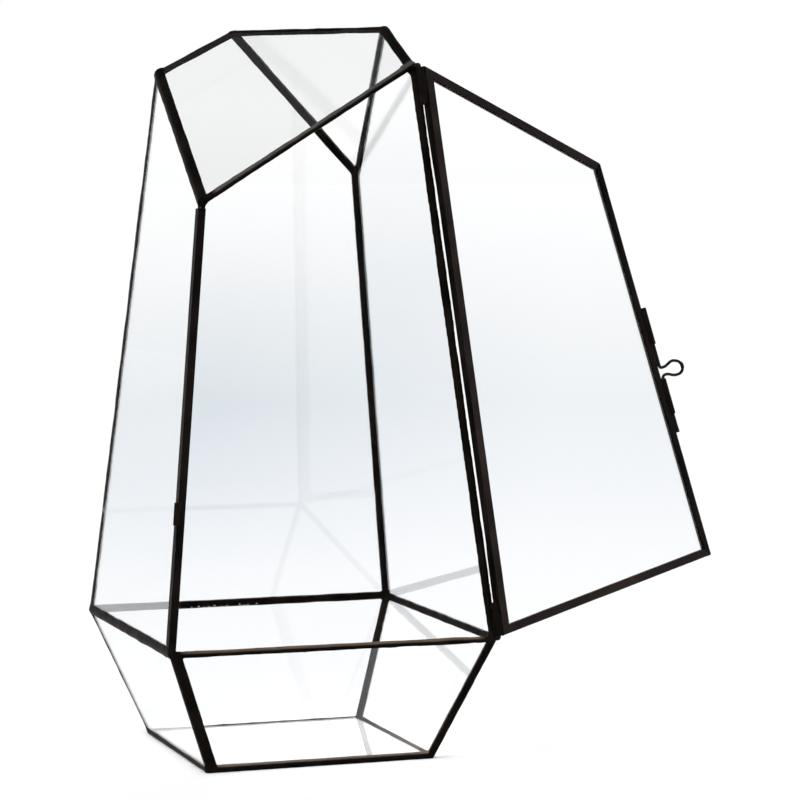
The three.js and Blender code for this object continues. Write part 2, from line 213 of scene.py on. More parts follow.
def makeSolderMaterial(name, finish, upperHighlights=False):
    material, nodes, links, shader = newMaterial(name)
    patches = noiseTexture(nodes, links, finish["patchScale"], 5.0, 0.6)
    colour = colourRamp(nodes, links, patches, ((0.38, finish["black"]), (0.72, finish["brown"])))
    if upperHighlights:
        colour = paintUpperHighlights(nodes, links, colour, patches)
    links.new(colour, shader.inputs["Base Color"])
    lumps = noiseTexture(nodes, links, finish["lumpScale"], 3.0, 0.5)
    links.new(valueRange(nodes, links, lumps, *finish["roughness"]), shader.inputs["Roughness"])
    shader.inputs["Specular IOR Level"].default_value = finish["shine"]
    addBump(nodes, links, shader, lumps, *finish["bump"])
    return material


channelFinish = {
    "black": (0.0017, 0.0014, 0.0014),
    "brown": (0.0085, 0.006, 0.0052),
    "patchScale": 45,
    "lumpScale": 300,
    "roughness": (0.36, 0.5),
    "shine": 0.02,
    "bump": (0.12, 0.00012),
}
# the flanges of the door's rails and hinge stile get a lighter brown copy of the channel's finish, painted
# light where they face the light, and the rails' outer edges are painted grey as a highlight
edgeHighlightFinish = {
    "black": (0.034, 0.032, 0.03),
    "brown": (0.075, 0.07, 0.065),
    "patchScale": 70,
    "lumpScale": 300,
    "roughness": (0.34, 0.48),
    "shine": 0.1,
    "bump": (0.12, 0.00012),
}
# painted light: the flanges' lighter brown is a lit copy of the black channel
litFlangeFinish = {
    **edgeHighlightFinish,
    "black": (0.0055, 0.0035, 0.0032),
    "brown": (0.021, 0.0128, 0.0108),
    "shine": 0.06,
}
wireFinish = {
    "black": (0.0024, 0.0021, 0.0021),
    "brown": (0.011, 0.008, 0.007),
    "patchScale": 90,
    "lumpScale": 600,
    "roughness": (0.28, 0.42),
    "shine": 0.08,
    "bump": (0.15, 0.0001),
}
# bare metal: a blob at the upright's top
bareFinish = {
    "black": (0.022, 0.019, 0.016),
    "brown": (0.06, 0.052, 0.045),
    "patchScale": 200,
    "lumpScale": 600,
    "roughness": (0.3, 0.45),
    "shine": 0.25,
    "bump": (0.3, 0.0001),
}
# painted highlight: a bright copy of the bare finish, for the lit outer end of the finger loop and the
# glints along the back waist seam
glintFinish = {
    **bareFinish,
    "black": (0.2, 0.2, 0.205),
    "brown": (0.36, 0.36, 0.37),
    "roughness": (0.28, 0.4),
    "shine": 0.4,
    "bump": (0.2, 0.0001),
}

glassFinish = {
    "tint": (0.986, 0.99, 0.992),
    "shadowTint": (0.95, 0.955, 0.96),
    "roughness": 0.0,
    "index": 1.5,
    "wave": (0.05, 0.00035),
    "waveScale": 9,
}


def makeGlassMaterial(name, finish):
    material, nodes, links, shader = newMaterial(name)
    shader.inputs["Base Color"].default_value = (*finish["tint"], 1)
    shader.inputs["Roughness"].default_value = finish["roughness"]
    shader.inputs["IOR"].default_value = finish["index"]
    shader.inputs["Transmission Weight"].default_value = 1
    wave = noiseTexture(nodes, links, finish["waveScale"], 1.0, 0.4)
    addBump(nodes, links, shader, wave, *finish["wave"])
    # the glass lets the lights through, as thin clear panes do
    clear = nodes.new("ShaderNodeBsdfTransparent")
    clear.inputs["Color"].default_value = (*finish["shadowTint"], 1)
    path = nodes.new("ShaderNodeLightPath")
    mix = nodes.new("ShaderNodeMixShader")
    links.new(path.outputs["Is Shadow Ray"], mix.inputs["Fac"])
    links.new(shader.outputs["BSDF"], mix.inputs[1])
    links.new(clear.outputs["BSDF"], mix.inputs[2])
    links.new(mix.outputs["Shader"], nodes["Material Output"].inputs["Surface"])
    return material


# the seams carry painted highlights on their upward faces
seamMaterial = makeSolderMaterial("highlitSolder", solderFinish, upperHighlights=True)
solderMaterial = makeSolderMaterial("blackSolder", solderFinish)
channelMaterial = makeSolderMaterial("blackChannel", channelFinish)
# the next two are painted light on the door: grey highlights on the rails' outer edges, and lighter brown
# on the flanges
edgeHighlightMaterial = makeSolderMaterial("edgeHighlight", edgeHighlightFinish)
litFlangeMaterial = makeSolderMaterial("litFlange", litFlangeFinish)
wireMaterial = makeSolderMaterial("blackWire", wireFinish)
bareMaterial = makeSolderMaterial("bareSolder", bareFinish)
# painted highlight: the finger loop's lit outer end and the glints on the back waist seam
glintMaterial = makeSolderMaterial("paintedGlints", glintFinish)
glassMaterial = makeGlassMaterial("clearGlass", glassFinish)
print("materials made")

# the body's corners, as in the frame
body = {
    "glass": 2.0,
    "halfBase": 47.25,
    "halfWaist": 67.5,
    "waistHeight": 52.0,
    "wallLean": 0.108,
    "lowShoulder": 229.5,
    "highShoulder": 283.5,
    "peak": 300.5,
    "gableFoot": 241.0,
}


def cornerOn(side, depth, height, half=None):
    if half is None:
        half = body["halfWaist"] - body["wallLean"] * (height - body["waistHeight"])
    return Vector((side * half, depth * half, height))


def makeCorners():
    floorLine = body["glass"] / 2
    base = body["halfBase"]
    waist = body["waistHeight"]
    found = {
        "baseBackLeft": cornerOn(-1, 1, floorLine, base),
        "baseFrontLeft": cornerOn(-1, -1, floorLine, base),
        "baseFrontRight": cornerOn(1, -1, floorLine, base),
        "baseBackRight": cornerOn(1, 1, floorLine, base),
        "waistBackLeft": cornerOn(-1, 1, waist),
        "waistFrontLeft": cornerOn(-1, -1, waist),
        "waistFrontRight": cornerOn(1, -1, waist),
        "waistBackRight": cornerOn(1, 1, waist),
        "topFrontLeft": cornerOn(-1, -1, body["lowShoulder"]),
        "topBackLeft": cornerOn(-1, 1, body["highShoulder"]),
        "topFrontRight": cornerOn(1, -1, body["highShoulder"]),
        "gableFoot": cornerOn(1, 1, body["gableFoot"]),
    }
    front = found["topFrontLeft"]
    slope = (front.x + front.y) / (body["lowShoulder"] - body["highShoulder"])
    half = cornerOn(1, 1, body["peak"]).x
    inward = slope * (body["peak"] - body["highShoulder"]) - half
    found["peakBack"] = Vector((inward, half, body["peak"]))
    found["peakRight"] = Vector((half, inward, body["peak"]))
    return found


corners = makeCorners()

panes = {
    "pane_base": ("baseBackLeft", "baseFrontLeft", "baseFrontRight", "baseBackRight"),
    "pane_lower_front": ("waistFrontLeft", "waistFrontRight", "baseFrontRight", "baseFrontLeft"),
    "pane_lower_right": ("waistFrontRight", "waistBackRight", "baseBackRight", "baseFrontRight"),
    "pane_lower_back": ("waistBackRight", "waistBackLeft", "baseBackLeft", "baseBackRight"),
    "pane_lower_left": ("waistBackLeft", "waistFrontLeft", "baseFrontLeft", "baseBackLeft"),
    "pane_left": ("waistBackLeft", "waistFrontLeft", "topFrontLeft", "topBackLeft"),
    "pane_right": ("waistFrontRight", "waistBackRight", "gableFoot", "peakRight", "topFrontRight"),
    "pane_back": ("waistBackRight", "waistBackLeft", "topBackLeft", "peakBack", "gableFoot"),
    "pane_top": ("topBackLeft", "peakBack", "peakRight", "topFrontRight", "topFrontLeft"),
    "pane_gable": ("peakBack", "gableFoot", "peakRight"),
}
uprightEnds = ("waistFrontLeft", "topFrontLeft")
uprightFoot, uprightHead = (corners[name] for name in uprightEnds)

# each seam: its ends, how far it covers its first and second pane, and how proud it stands of the glass
seams = {
    "seam_base_front": ("baseFrontLeft", "baseFrontRight", (1.8, 1.8), 0.4),
    "seam_base_right": ("baseFrontRight", "baseBackRight", (1.4, 1.4), 0.2),
    "seam_base_back": ("baseBackRight", "baseBackLeft", (1.3, 1.5), 0.1),
    "seam_base_left": ("baseBackLeft", "baseFrontLeft", (2.2, 1.95), 0.25),
    "seam_lower_front_left": ("baseFrontLeft", "waistFrontLeft", (2.8, 1.2), 0.15),
    "seam_lower_front_right": ("baseFrontRight", "waistFrontRight", (2.0, 1.6), 0.35),
    "seam_lower_back_right": ("baseBackRight", "waistBackRight", (4.6, 2.0), 0.2),
    "seam_lower_back_left": ("baseBackLeft", "waistBackLeft", (1.3, 1.1), 0.08),
    "seam_waist_front": ("waistFrontLeft", "waistFrontRight", (1.0, 1.0), 0.2),
    "seam_waist_right": ("waistFrontRight", "waistBackRight", (1.65, 1.65), 0.25),
    "seam_waist_back": ("waistBackRight", "waistBackLeft", (1.6, 1.6), 0.25),
    "seam_waist_left": ("waistBackLeft", "waistFrontLeft", (1.8, 2.4), 0.3),
    "seam_wall_front_right": ("waistFrontRight", "topFrontRight", (1.4, 1.6), 0.35),
    "seam_wall_back_right": ("waistBackRight", "gableFoot", (5.2, 2.3), 0.15),
    "seam_wall_back_left": ("waistBackLeft", "topBackLeft", (4.2, 0.9), -0.02),
    "seam_shoulder_front": ("topFrontRight", "topFrontLeft", (1.2, 1.2), 0.2),
    "seam_shoulder_left": ("topFrontLeft", "topBackLeft", (2.4, 2.4), 0.35),
    "seam_shoulder_back": ("topBackLeft", "peakBack", (2.2, 2.6), 0.1),
    "seam_shoulder_right": ("peakRight", "topFrontRight", (2.6, 2.5), 0.35),
    "seam_ridge": ("peakBack", "peakRight", (2.0, 1.6), 0.1),
    "seam_gable_back": ("peakBack", "gableFoot", (2.0, 2.0), 0.25),
    "seam_gable_right": ("gableFoot", "peakRight", (5.0, 0.35), 0.05),
}
# the solder was run on by hand, a little off the edge in places: how far at the start and at the end
seamDrift = {
    "seam_lower_front_left": ((0.75, -0.15, 0), (0.7, -0.15, 0)),
    "seam_lower_front_right": ((0.45, 0, -0.1), (0.45, 0, -0.3)),
    "seam_lower_back_right": ((0.4, -0.1, 0), (0.4, -0.1, 0)),
    "seam_lower_back_left": ((0.1, -0.05, 0), (0.1, -0.05, 0)),
    "seam_waist_front": ((0, 0.25, -0.5), (0, 0.25, -0.9)),
    "seam_wall_front_right": ((0.2, 0, 0), (0.45, -0.05, 0)),
    "seam_wall_back_right": ((0.15, 0, 0), (0.15, 0, 0)),
    "seam_wall_back_left": ((0.1, -0.1, 0), (0.1, -0.1, 0)),
    "seam_shoulder_front": ((0, 0, 1.25), (0, 0, 0.0)),
    "seam_shoulder_back": ((0, 0, -0.6), (0, 0, -0.5)),
    "seam_ridge": ((0, 0, -0.35), (0, 0, -0.35)),
    "seam_gable_right": ((0.1, 0, 0), (0.1, 0, 0)),
    "seam_base_back": ((0, 0, -0.6), (0, 0, -0.6)),
    "seam_shoulder_right": ((0.45, -0.15, 0.1), (-0.15, 0.05, -0.15)),
}
# where more solder ran along the inside of the glass than along its outside, half the difference
seamSlant = {"seam_lower_back_right": 2.0}


def towards(start, end):
    return (end - start).normalized()


def middleOf(names):
    return sum((corners[name] for name in names), Vector()) / len(names)


def outwardNormal(pane):
    first, second, third = (corners[name] for name in panes[pane][:3])
    normal = (second - first).cross(third - second).normalized()
    away = middleOf(panes[pane]) - Vector((0, 0, body["waistHeight"]))
    return -normal if normal.dot(away) < 0 else normal


def intoPane(pane, first, second):
    inward = outwardNormal(pane).cross(towards(corners[first], corners[second]))
    return -inward if inward.dot(middleOf(panes[pane]) - corners[first]) < 0 else inward


def neighboursAt(corner, ends):
    everyEdge = [seam[:2] for seam in seams.values()] + [uprightEnds]
    found = []
    for edge in everyEdge:
        if corner in edge and set(edge) != set(ends):
            far = edge[0] if edge[1] == corner else edge[1]
            found.append(towards(corners[corner], corners[far]))
    return found


def frameAt(origin, xAxis, yAxis):
    zAxis = xAxis.cross(yAxis)
    return Matrix.Translation(origin) @ Matrix((xAxis, yAxis, zAxis)).transposed().to_4x4()


def sweep(bm, outline, stations):
    face = bm.faces.new([bm.verts.new(stations[0] @ Vector((x, y, 0))) for x, y in outline])
    for before, after in zip(stations, stations[1:]):
        grown = bmesh.ops.extrude_face_region(bm, geom=[face])["geom"]
        step = after @ before.inverted()
        verts = [item for item in grown if isinstance(item, bmesh.types.BMVert)]
        bmesh.ops.transform(bm, matrix=step, verts=verts)
        face = next(item for item in grown if isinstance(item, bmesh.types.BMFace))
    bmesh.ops.recalc_face_normals(bm, faces=bm.faces[:])


def cutBy(bm, point, normal):
    geometry = bm.verts[:] + bm.edges[:] + bm.faces[:]
    cut = bmesh.ops.bisect_plane(bm, geom=geometry, plane_co=point, plane_no=normal, clear_inner=True)
    rim = [item for item in cut["geom_cut"] if isinstance(item, bmesh.types.BMEdge)]
    if rim:
        bmesh.ops.edgeloop_fill(bm, edges=rim)
    bmesh.ops.recalc_face_normals(bm, faces=bm.faces[:])


def clipToPane(bm, pane, corner, ends, past):
    ring = panes[pane]
    for start, end in zip(ring, ring[1:] + ring[:1]):
        if corner in (start, end) and {start, end} != set(ends):
            inward = intoPane(pane, start, end)
            cutBy(bm, corners[corner] - inward * past, inward)


def mitre(bm, corner, direction, others, gap):
    for other in others:
        normal = (direction - other).normalized()
        cutBy(bm, corner + normal * gap, normal)


def roughen(bm, amount, length, seed=0.0):
    shift = Vector((seed * 7.3, seed * 3.1, seed * 5.7))
    bm.normal_update()
    moves = [(vert, vert.normal * noise.noise(vert.co / length + shift) * amount) for vert in bm.verts]
    for vert, move in moves:
        vert.co += move


def extrudeBy(bm, face, step):
    grown = bmesh.ops.extrude_face_region(bm, geom=[face])["geom"]
    verts = [item for item in grown if isinstance(item, bmesh.types.BMVert)]
    bmesh.ops.translate(bm, vec=step, verts=verts)
    bmesh.ops.recalc_face_normals(bm, faces=bm.faces[:])


def addPiece(name, bm, material, bodyName, nodes=(), place=None, smooth=True):
    mesh = bpy.data.meshes.new(name)
    if place is not None:
        bm.transform(place)
    bm.transform(Matrix.Scale(millimetre, 4))
    for face in bm.faces:
        face.smooth = smooth
    bm.to_mesh(mesh)
    bm.free()
    mesh.materials.append(material)
    piece = bpy.data.objects.new(name, mesh)
    bpy.context.scene.collection.objects.link(piece)
    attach(piece, bodyName)
    if nodes:
        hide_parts(*nodes)
    return piece


def paintFaces(piece, material, indices):
    slot = len(piece.data.materials)
    piece.data.materials.append(material)
    for index in indices:
        piece.data.polygons[index].material_index = slot


def applyModifiers(piece):
    bpy.context.view_layer.update()
    shown = piece.evaluated_get(bpy.context.evaluated_depsgraph_get())
    mesh = bpy.data.meshes.new_from_object(shown)
    mesh.name = piece.name
    piece.modifiers.clear()
    piece.data = mesh


def melt(piece, grain, swell=0.0):
    remesh = piece.modifiers.new("melt", "REMESH")
    remesh.mode = "VOXEL"
    remesh.voxel_size = grain * millimetre
    remesh.use_smooth_shade = True
    ease = piece.modifiers.new("ease", "SMOOTH")
    ease.factor = 0.5
    ease.iterations = 3
    if swell:
        grow = piece.modifiers.new("swell", "DISPLACE")
        grow.mid_level = 0
        grow.strength = swell * millimetre
    applyModifiers(piece)


def joinInto(target, source):
    mesh = bpy.data.meshes.new("joined")
    source.to_mesh(mesh)
    target.from_mesh(mesh)
    source.free()
    bpy.data.meshes.remove(mesh)


blobLump = (0.24, 0.9)


def addBlob(bm, centre, size, seed=0, turn=(0, 0, 0)):
    blob = bmesh.new()
    bmesh.ops.create_icosphere(blob, subdivisions=3, radius=1)
    roughen(blob, *blobLump, seed)
    place = Matrix.Translation(centre) @ Euler(turn).to_matrix().to_4x4() @ Matrix.Diagonal((*size, 1))
    blob.transform(place)
    joinInto(bm, blob)


def crossLines(first, second):
    across = first[1].cross(second[1])
    reach = (second[0] - first[0]).cross(second[1]).dot(across) / across.length_squared
    return first[0] + first[1] * reach


# how far the glass ends from the line where two panes meet
paneCut = {"inset": 0.7, "uprightInset": 0.05}


def makePane(name):
    ring = panes[name]
    normal = outwardNormal(name)
    sides = []
    for start, end in zip(ring, ring[1:] + ring[:1]):
        inset = paneCut["uprightInset"] if {start, end} == set(uprightEnds) else paneCut["inset"]
        point = corners[start] + intoPane(name, start, end) * inset
        sides.append((point, towards(corners[start], corners[end])))
    outline = [crossLines(side, after) for side, after in zip(sides, sides[1:] + sides[:1])]
    bm = bmesh.new()
    face = bm.faces.new([bm.verts.new(point - normal * body["glass"] / 2) for point in outline])
    extrudeBy(bm, face, normal * body["glass"])
    return addPiece("glass" + name[4:], bm, glassMaterial, "root", (name,), smooth=False)


for name in panes:
    makePane(name)
print("panes made")

# every seam is drawn along its edge, and then all of them are melted into one
# a cap closes a seam that holds one pane: its reach to each side and past the edge, and its shift inwards
solder = {
    "step": 2.2,
    "wave": (0.2, 9.0),
    "ripple": (0.1, 3.2),
    "cap": (1.2, 1.2, 1.2, 0),
    "postCap": (1.76, 1.6, 0.9, 0.6),
    "past": 0.5,
    "run": 5.0,
    "grain": 0.45,
    "swell": 0.16,
    "faces": 180000,
    "underside": -0.3,
}
# solder gathers at the corners: how far it reaches from each, and its offset
cornerBlobs = {
    "baseBackLeft": (1.1, (0.3, -0.2, 0)),
    "baseFrontLeft": (1.7, (0, 0, 0)),
    "baseFrontRight": (1.7, (0, 0, 0)),
    "baseBackRight": (1.6, (0, 0, 0)),
    "waistBackLeft": (1.5, (0.2, 0, -0.2)),
    "waistFrontLeft": (1.8, (0.1, 0.2, 0)),
    "waistFrontRight": (1.6, (-0.1, 0.2, 0)),
    "waistBackRight": (1.9, (0, 0, 0)),
    "topFrontLeft": (1.8, (0, 0, 0)),
    "topBackLeft": (1.35, (1.4, -1.0, -1.5)),
    "topFrontRight": (1.7, (-0.3, 0.4, 0.7)),
    "gableFoot": (1.8, (0, 0, 0)),
    "peakBack": (1.05, (0, 0, -1.2)),
    "peakRight": (1.05, (-0.2, 0, -1.3)),
}
# lumps beside the seams: the seam, how far along it, the offset and the size
drips = (
    ("seam_base_back", 0.66, (0, 0, 0.6), (0.9, 0.8, 0.8)),
    ("seam_base_back", 0.83, (0, 0, 0.6), (0.8, 0.8, 0.7)),
    ("seam_lower_back_left", 0.3, (0.9, -0.3, 0), (0.8, 0.8, 0.9)),
    ("seam_shoulder_front", 0.02, (-1.2, 0.6, 0.9), (2.3, 1.2, 1.3)),
)
# at the upright's head and foot: how far along it from the corner, the offset and the size
uprightBlobs = ((1.6, (0, 0, 0), (1.35, 1.35, 2.6)), (1.8, (0, 0.3, 0), (1.75, 1.35, 2.7)))


def seamOutline(cover, proud, angle, cap, slant):
    half = body["glass"] / 2 + 0.1
    crown = half + proud
    first, second = cover
    if angle is None:
        outer, inner, along, shift = cap
        brink = shift + 0.1
        arc = []
        for i in range(9):
            turn = i * math.pi / 8
            across = outer if i < 4 else inner
            arc.append((shift - math.sin(turn) * along, math.cos(turn) * across))
        wing = [(first, half), (brink, max(crown, outer))]
        return wing + arc + [(brink, -max(crown, inner)), (first, -half)]
    away = Vector((math.cos(angle), -math.sin(angle)))
    outward = Vector((-math.sin(angle), -math.cos(angle)))
    sweepAngle = math.pi - angle
    turns = [math.pi / 2 + sweepAngle * i / 8 for i in range(9)]
    arc = [(math.cos(turn) * crown, math.sin(turn) * crown) for turn in turns]
    nearWing = [(first + slant, -half), (first - slant, half), ((first - slant) * 0.55, crown - 0.04)]
    farWing = [
        away * second * 0.55 + outward * (crown - 0.04),
        away * second + outward * half,
        away * second - outward * half,
    ]
    return nearWing + arc + [tuple(point) for point in farWing]


def makeSeam(bm, name, seed):
    start, end, cover, proud = seams[name]
    startDrift, endDrift = (Vector(drift) for drift in seamDrift.get(name, ((0, 0, 0), (0, 0, 0))))
    held = [pane for pane in panes if start in panes[pane] and end in panes[pane]]
    xAxis = intoPane(held[0], start, end)
    yAxis = outwardNormal(held[0])
    if xAxis.cross(yAxis).dot(corners[end] - corners[start]) < 0:
        start, end = end, start
        startDrift, endDrift = endDrift, startDrift
    angle = xAxis.angle(intoPane(held[1], start, end)) if len(held) > 1 else None
    cap = solder["postCap"] if name == "seam_wall_front_right" else solder["cap"]
    outline = seamOutline(cover, proud, angle, cap, seamSlant.get(name, 0))
    first = corners[start] + startDrift
    last = corners[end] + endDrift
    direction = towards(first, last)
    length = (last - first).length + 2 * solder["run"]
    count = int(length / solder["step"])
    origin = first - direction * solder["run"]
    stations = [frameAt(origin + direction * length * i / count, xAxis, yAxis) for i in range(count + 1)]
    seam = bmesh.new()
    sweep(seam, outline, stations)
    roughen(seam, *solder["wave"], seed)
    roughen(seam, *solder["ripple"], seed + 40)
    for corner in (start, end):
        for pane in held:
            clipToPane(seam, pane, corner, (start, end), solder["past"])
    joinInto(bm, seam)


def makeSolder():
    bm = bmesh.new()
    for seed, name in enumerate(seams):
        makeSeam(bm, name, seed)
    for seed, (corner, (reach, offset)) in enumerate(cornerBlobs.items()):
        addBlob(bm, corners[corner] + Vector(offset), (reach, reach, reach), seed)
    for seed, (name, share, offset, size) in enumerate(drips):
        start, end = (corners[corner] for corner in seams[name][:2])
        addBlob(bm, start.lerp(end, share) + Vector(offset), size, seed + 50)
    lean = towards(uprightHead, uprightFoot).to_track_quat("Z", "Y").to_euler()
    for seed, (start, end) in enumerate(((uprightHead, uprightFoot), (uprightFoot, uprightHead))):
        along, offset, size = uprightBlobs[seed]
        addBlob(bm, start + towards(start, end) * along + Vector(offset), size, seed + 31, lean)
    bmesh.ops.triangulate(bm, faces=bm.faces[:])
    piece = addPiece("solder_seams", bm, seamMaterial, "root", tuple(seams))
    melt(piece, solder["grain"], solder["swell"])
    thin = piece.modifiers.new("thin", "DECIMATE")
    thin.ratio = min(1, solder["faces"] / (2 * len(piece.data.polygons)))
    applyModifiers(piece)
    for vert in piece.data.vertices:
        vert.co.z = max(vert.co.z, solder["underside"] * millimetre)
    piece.data.shade_smooth()
    print("solder triangles:", sum(len(face.vertices) - 2 for face in piece.data.polygons))


makeSolder()
print("body solder made")

channel = {
    "thickness": 3.15,
    "web": 0.35,
    "wall": 0.7,
    "round": 0.1,
    "step": 8.0,
    "wave": (0.07, 14.0),
    "past": 6.0,
    "gap": 0.05,
}


def channelOutline(web, depth):
    outside = channel["thickness"] / 2
    inside = outside - channel["wall"]
    floor = web + channel["web"]
    points = [(web, -outside), (depth, -outside), (depth, -inside), (floor, -inside)]
    points += [(x, -y) for x, y in reversed(points)]
    return points


def roundedOutline(points, amount):
    bm = bmesh.new()
    bm.faces.new([bm.verts.new((x, y, 0)) for x, y in points])
    corner = {"offset": amount, "segments": 2, "profile": 0.5, "material": -1}
    bmesh.ops.bevel(bm, geom=bm.verts[:], affect="VERTICES", **corner)
    bm.faces.ensure_lookup_table()
    face = bm.faces[0]
    if face.normal.z < 0:
        face.normal_flip()
    outline = [tuple(vert.co.xy) for vert in face.verts]
    bm.free()
    return outline


def drawChannel(outline, start, end, xAxis, yAxis):
    direction = towards(start, end)
    length = (end - start).length + 2 * channel["past"]
    origin = start - direction * channel["past"]
    count = int(length / channel["step"])
    stations = [frameAt(origin + direction * length * i / count, xAxis, yAxis) for i in range(count + 1)]
    bm = bmesh.new()
    sweep(bm, outline, stations)
    return bm


# the upright: its web in front of the seam line, its flanges behind it, and the gap to the corner above
upright = {"front": 0.62, "back": 3.7, "top": 2.6}


def makeUpright():
    inward = intoPane("pane_left", *uprightEnds)
    normal = outwardNormal("pane_left")
    outline = roundedOutline(channelOutline(-upright["front"], upright["back"]), channel["round"])
    start, end = uprightFoot, uprightHead
    if inward.cross(normal).dot(end - start) < 0:
        start, end = end, start
    bm = drawChannel(outline, start, end, inward, normal)
    roughen(bm, *channel["wave"], 3)
    for corner, far in zip(uprightEnds, (uprightHead, uprightFoot)):
        others = neighboursAt(corner, uprightEnds)
        mitre(bm, corners[corner], towards(corners[corner], far), others, channel["gap"])
    down = towards(uprightHead, uprightFoot)
    cutBy(bm, uprightHead + down * upright["top"], down)
    addPiece("channel_upright", bm, channelMaterial, "root", ("upright_channel",), smooth=False)


makeUpright()
print("upright made")

# the doorway's frame: x from the hinge axis towards the latch, y out of the doorway, z up the axis
hinge = {
    "axisOut": 1.6,
    "axisForward": 3.2,
    "open": 205.3,
    "edge": (1.4, 1.75),
    "knuckle": 1.6,
    "bore": 1.0,
    "length": 9.6,
    "gap": 0.3,
    "pin": 0.75,
    "reach": 8.0,
}
doorPast = {"top": -0.2, "bottom": -0.2, "latchTop": 1.4, "latchBottom": 0.2}

axisUp = towards(corners["waistFrontRight"], corners["topFrontRight"])
doorwayOut = Vector((0, -1, body["wallLean"])).normalized()
latchward = doorwayOut.cross(axisUp)
axisOrigin = corners["waistFrontRight"] - latchward * hinge["axisOut"] + doorwayOut * hinge["axisForward"]
doorwayPlace = frameAt(axisOrigin, latchward, doorwayOut)
doorPlace = doorwayPlace @ Matrix.Rotation(math.radians(hinge["open"]), 4, "Z")
toDoorway = doorwayPlace.inverted()
doorAcross = Vector((0, 1, 0))


def onDoorPlane(name):
    point = toDoorway @ corners[name]
    point.y = 0
    return point


def doorSide(startName, endName, startPast, endPast):
    start = onDoorPlane(startName)
    end = onDoorPlane(endName)
    outwards = towards(start, end).cross(doorAcross)
    start += outwards * startPast
    end += outwards * endPast
    return start, towards(start, end)


edgeFoot, edgeHead = hinge["edge"]
doorHeight = onDoorPlane("topFrontRight").z
doorSides = [
    (Vector((edgeFoot, 0, 0)), Vector((edgeHead - edgeFoot, 0, doorHeight)).normalized()),
    doorSide("topFrontRight", "topFrontLeft", doorPast["top"], doorPast["top"]),
    doorSide("topFrontLeft", "waistFrontLeft", doorPast["latchTop"], doorPast["latchBottom"]),
    doorSide("waistFrontLeft", "waistFrontRight", doorPast["bottom"], doorPast["bottom"]),
]
# hinge bottom, hinge top, latch top, latch bottom
doorRing = [crossLines(doorSides[i - 1], doorSides[i]) for i in range(4)]

# each length of the door's channel: its first corner, its depth, its mitres' gaps, its flanges and its web
doorChannels = {
    "channel_stile_hinge": (0, 3.95, (0.04, 0.04), litFlangeMaterial, channelMaterial),
    "channel_rail_top": (1, 3.35, (0.04, 0.16), litFlangeMaterial, edgeHighlightMaterial),
    "channel_stile_latch": (2, 3.1, (0.16, 0.04), channelMaterial, channelMaterial),
    "channel_rail_bottom": (3, 3.35, (0.04, 0.04), litFlangeMaterial, edgeHighlightMaterial),
}


def makeDoorChannel(name, place, depth, gaps, flange, web):
    before, start, end, after = (doorRing[(place + i) % 4] for i in (-1, 0, 1, 2))
    direction = towards(start, end)
    inward = doorAcross.cross(direction)
    outline = roundedOutline(channelOutline(0, depth), channel["round"])
    bm = drawChannel(outline, start, end, inward, direction.cross(inward))
    roughen(bm, *channel["wave"], place + 5)
    mitre(bm, start, direction, [towards(start, before)], gaps[0])
    mitre(bm, end, -direction, [towards(end, after)], gaps[1])
    bm.normal_update()
    flanges = [index for index, face in enumerate(bm.faces) if abs(face.normal.y) > 0.8]
    outside = [index for index, face in enumerate(bm.faces) if face.normal.dot(inward) < -0.8]
    node = name.replace("channel", "door")
    piece = addPiece(name, bm, channelMaterial, "door", (node,), doorPlace, False)
    # painted light: the flanges and the outer webs get their lighter finishes by which way their faces
    # point
    paintFaces(piece, flange, flanges)
    paintFaces(piece, web, outside)


for name, settings in doorChannels.items():
    makeDoorChannel(name, *settings)


def makeDoorPane():
    sides = []
    for point, direction in doorSides:
        inward = doorAcross.cross(direction)
        sides.append((point + inward * (channel["web"] + 0.3), direction))
    outline = [crossLines(sides[i - 1], sides[i]) for i in range(4)]
    bm = bmesh.new()
    face = bm.faces.new([bm.verts.new(point - doorAcross * body["glass"] / 2) for point in outline])
    extrudeBy(bm, face, doorAcross * body["glass"])
    addPiece("glass_door", bm, glassMaterial, "door", ("door_pane",), doorPlace, False)


makeDoorPane()
print("door frame and pane made")

tubeFinish = {"soften": 0.12, "sides": 40}


def drawTube(outer, bore, start, end):
    bm = bmesh.new()
    points = [(bore, start), (outer, start), (outer, end), (bore, end)]
    verts = [bm.verts.new((x, 0, z)) for x, z in points]
    edges = [bm.edges.new((verts[i - 1], verts[i])) for i in range(4)]
    spin = {"axis": (0, 0, 1), "cent": (0, 0, 0), "steps": tubeFinish["sides"], "use_merge": True}
    bmesh.ops.spin(bm, geom=verts + edges, angle=2 * math.pi, **spin)
    bmesh.ops.remove_doubles(bm, verts=bm.verts[:], dist=0.001)
    bmesh.ops.recalc_face_normals(bm, faces=bm.faces[:])
    level = [edge for edge in bm.edges if abs(edge.verts[0].co.z - edge.verts[1].co.z) < 1e-4]
    rims = [edge for edge in level if edge.calc_face_angle(0) > 1.2]
    corner = {"offset": tubeFinish["soften"], "segments": 3, "profile": 0.5, "material": -1}
    bmesh.ops.bevel(bm, geom=rims, affect="EDGES", **corner)
    return bm


bottomKnuckle = (doorRing[0].z, doorRing[0].z + hinge["length"])
topKnuckle = (doorRing[1].z - hinge["length"] - hinge["gap"], doorRing[1].z - hinge["gap"])
for name, (start, end) in (("bottom", bottomKnuckle), ("top", topKnuckle)):
    bm = drawTube(hinge["knuckle"], hinge["bore"], start, end)
    addPiece("knuckle_" + name, bm, channelMaterial, "door", ("hinge_knuckle_" + name,), doorPlace)


